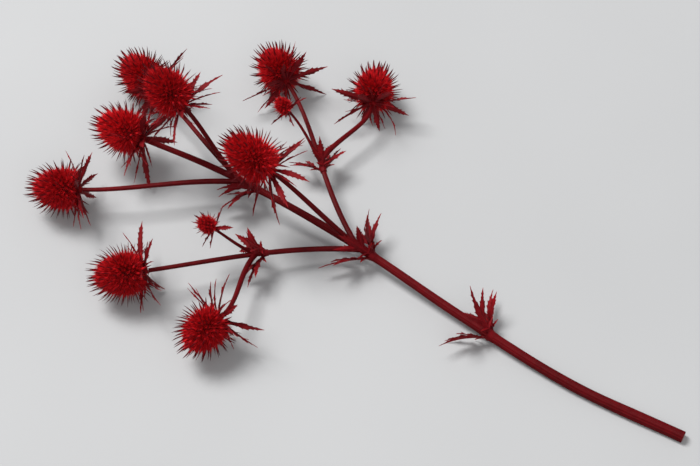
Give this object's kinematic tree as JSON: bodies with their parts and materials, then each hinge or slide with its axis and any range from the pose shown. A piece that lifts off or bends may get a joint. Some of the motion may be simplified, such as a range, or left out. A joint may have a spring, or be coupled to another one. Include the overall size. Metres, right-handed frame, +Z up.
{
  "type": "sea holly stem",
  "caption": "Cut branching stem of red-dyed sea holly lying on its side, with spiny egg-shaped flower heads over toothed bracts, clasping leaf rings and small buds.",
  "frame": {"origin": "middle of the plant's box in plan, on the surface that it lies on", "axes": "+X along the main stem towards its cut end, +Z up from the surface"},
  "size_m": [0.5486, 0.3232, 0.1155],
  "materials": {
    "stem": "dark red dyed, ribbed, satin",
    "leaves": "deep red dyed, veined, satin",
    "heads": "bright red dyed, spiny, satin"
  },
  "bodies": {
    "root": {"stem": "stem", "leaves_low": "leaves", "leaves_middle": "leaves", "leaves_top": "leaves", "leaves_left": "leaves", "leaves_right": "leaves", "head_main": "heads", "head_top_left": "heads", "head_top_right": "heads", "head_top_rising": "heads", "head_low_left": "heads", "head_low_right": "heads", "head_low_rising": "heads", "head_outer_left": "heads", "head_outer_right": "heads", "bud_left": "heads", "bud_right": "heads"}
  },
  "joints": []
}
